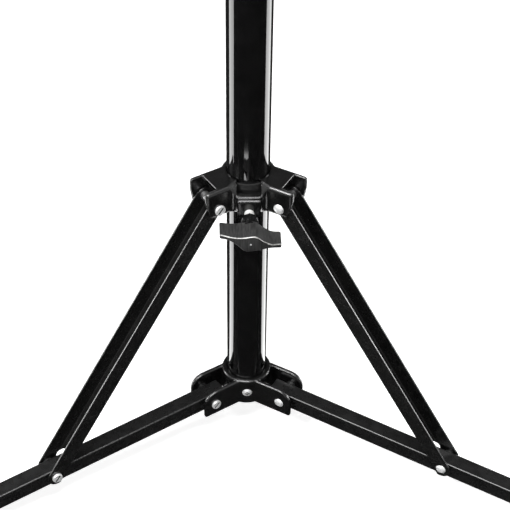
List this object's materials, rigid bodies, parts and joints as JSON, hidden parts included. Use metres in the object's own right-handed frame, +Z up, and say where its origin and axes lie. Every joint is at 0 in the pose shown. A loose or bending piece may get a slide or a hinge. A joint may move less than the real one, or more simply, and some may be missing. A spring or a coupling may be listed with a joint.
{
  "type": "crank lighting stand",
  "caption": "Crank lighting stand with a folding tripod base, sliding collar with wing clamp, geared crank column and a clamped top column with a spigot.",
  "frame": {"origin": "on the column's axis at floor level, between the three feet", "axes": "+Z up along the column; -Y is the front, where the clamp knobs are; one leg points to +Y; the crank is on +X"},
  "size_m": [0.9974, 0.8642, 0.9439],
  "materials": {
    "black_tube": "gloss black anodised tube",
    "black_channel": "gloss black channel with bare bright edges",
    "black_casting": "black painted die casting, satin",
    "knob_plastic": "dark grey fine-grained moulding",
    "bright_zinc": "bright zinc plated",
    "white_washer": "natural nylon",
    "black_nylon": "glossy black nylon",
    "machined_steel": "machined and nickel plated",
    "bronze_bush": "sintered bronze",
    "crank_black": "black painted steel",
    "grip_plastic": "black moulded grip",
    "foot_rubber": "matte black rubber"
  },
  "bodies": {
    "base": {"base_column": "black_tube", "column_end_cap": "black_nylon", "base_hub": "black_casting", "column_screws": "bright_zinc", "hub_pivot_bolts": "bright_zinc", "hub_pivot_nuts": "bright_zinc", "gearbox_housing": "black_casting", "gearbox_cover": "black_casting", "cover_screws": "bright_zinc", "neck_bush": "black_nylon", "shaft_bushes": "bronze_bush"},
    "collar": {"spider_collar": "black_casting", "spider_sleeve": "black_nylon", "collar_pivot_bolts": "bright_zinc", "collar_pivot_nuts": "bright_zinc"},
    "collar_knob": {"spider_knob": "knob_plastic", "spider_knob_screw": "bright_zinc", "spider_knob_washer": "white_washer"},
    "leg_1": {"leg_1_tube": "black_tube", "leg_1_foot": "foot_rubber", "leg_1_washers": "black_nylon", "leg_1_joint_bolt": "bright_zinc", "leg_1_joint_nut": "bright_zinc"},
    "strut_1": {"strut_1_channel": "black_channel", "strut_1_bush": "machined_steel"},
    "leg_2": {"leg_2_tube": "black_tube", "leg_2_foot": "foot_rubber", "leg_2_washers": "black_nylon", "leg_2_joint_bolt": "bright_zinc", "leg_2_joint_nut": "bright_zinc"},
    "strut_2": {"strut_2_channel": "black_channel", "strut_2_bush": "machined_steel"},
    "leg_3": {"leg_3_tube": "black_tube", "leg_3_foot": "foot_rubber", "leg_3_washers": "black_nylon", "leg_3_joint_bolt": "bright_zinc", "leg_3_joint_nut": "bright_zinc"},
    "strut_3": {"strut_3_channel": "black_channel", "strut_3_bush": "machined_steel"},
    "middle": {"mid_column": "black_tube", "column_rack": "machined_steel", "mid_guide": "black_nylon", "mid_collar": "black_casting", "mid_bush": "black_nylon"},
    "top_clamp": {"mid_knob": "knob_plastic", "mid_knob_screw": "bright_zinc", "mid_knob_washer": "white_washer"},
    "top": {"top_column": "black_tube", "top_guide": "black_nylon", "spigot": "machined_steel", "spigot_stud": "machined_steel"},
    "lock": {"lock_knob": "knob_plastic", "lock_knob_screw": "bright_zinc", "lock_knob_washer": "white_washer"},
    "crank": {"crank_shaft": "machined_steel", "drive_pinion": "machined_steel", "crank_arm": "crank_black", "crank_nut": "bright_zinc", "grip_pin": "bright_zinc"},
    "grip": {"crank_grip": "grip_plastic"}
  },
  "joints": [
    {"name": "collar_slide", "type": "slide", "parent": "base", "child": "collar", "axis": [0, 0, 1], "range_m": [0, 0.24398]},
    {"name": "collar_knob_turn", "type": "hinge", "parent": "collar", "child": "collar_knob", "pos_m": [0, -0.036, 0.28463], "axis": [0, -1, 0], "range_deg": [0, 540]},
    {"name": "leg_1_fold", "type": "hinge", "parent": "base", "child": "leg_1", "pos_m": [0, 0.0468, 0.03981], "axis": [1, 0, 0], "range_deg": [0, 86.01]},
    {"name": "strut_1_swing", "type": "hinge", "parent": "leg_1", "child": "strut_1", "pos_m": [0, 0.22456, 0.03049], "axis": [-1, 0, 0], "range_deg": [0, 116.53]},
    {"name": "leg_2_fold", "type": "hinge", "parent": "base", "child": "leg_2", "pos_m": [-0.04053, -0.0234, 0.03981], "axis": [-0.5, 0.866, 0], "range_deg": [0, 86.01]},
    {"name": "strut_2_swing", "type": "hinge", "parent": "leg_2", "child": "strut_2", "pos_m": [-0.19447, -0.11228, 0.03049], "axis": [0.5, -0.866, 0], "range_deg": [0, 116.53]},
    {"name": "leg_3_fold", "type": "hinge", "parent": "base", "child": "leg_3", "pos_m": [0.04053, -0.0234, 0.03981], "axis": [-0.5, -0.866, 0], "range_deg": [0, 86.01]},
    {"name": "strut_3_swing", "type": "hinge", "parent": "leg_3", "child": "strut_3", "pos_m": [0.19447, -0.11228, 0.03049], "axis": [0.5, 0.866, 0], "range_deg": [0, 116.53]},
    {"name": "column_lift", "type": "slide", "parent": "base", "child": "middle", "axis": [0, 0, 1], "range_m": [0, 0.55]},
    {"name": "top_lift", "type": "slide", "parent": "middle", "child": "top", "axis": [0, 0, 1], "range_m": [0, 0.55]},
    {"name": "crank_turn", "type": "hinge", "parent": "base", "child": "crank", "pos_m": [0, 0.02535, 0.74591], "axis": [-1, 0, 0], "range_deg": [0, 3603]},
    {"name": "grip_spin", "type": "hinge", "parent": "crank", "child": "grip", "pos_m": [0.035, 0.02535, 0.65591], "axis": [1, 0, 0], "continuous": true},
    {"name": "lift_lock_turn", "type": "hinge", "parent": "base", "child": "lock", "pos_m": [0, -0.028, 0.77691], "axis": [0, -1, 0], "range_deg": [0, 540]},
    {"name": "top_clamp_turn", "type": "hinge", "parent": "middle", "child": "top_clamp", "pos_m": [0, -0.028, 0.84691], "axis": [0, -1, 0], "range_deg": [0, 540]}
  ],
  "couplings": [
    {"joint": "leg_1_fold", "follows": "collar_slide", "rad_per_m": 6.1521},
    {"joint": "strut_1_swing", "follows": "collar_slide", "rad_per_m": 8.3345},
    {"joint": "leg_2_fold", "follows": "collar_slide", "rad_per_m": 6.1521},
    {"joint": "strut_2_swing", "follows": "collar_slide", "rad_per_m": 8.3345},
    {"joint": "leg_3_fold", "follows": "collar_slide", "rad_per_m": 6.1521},
    {"joint": "strut_3_swing", "follows": "collar_slide", "rad_per_m": 8.3345},
    {"joint": "crank_turn", "follows": "column_lift", "rad_per_m": 114.29}
  ]
}
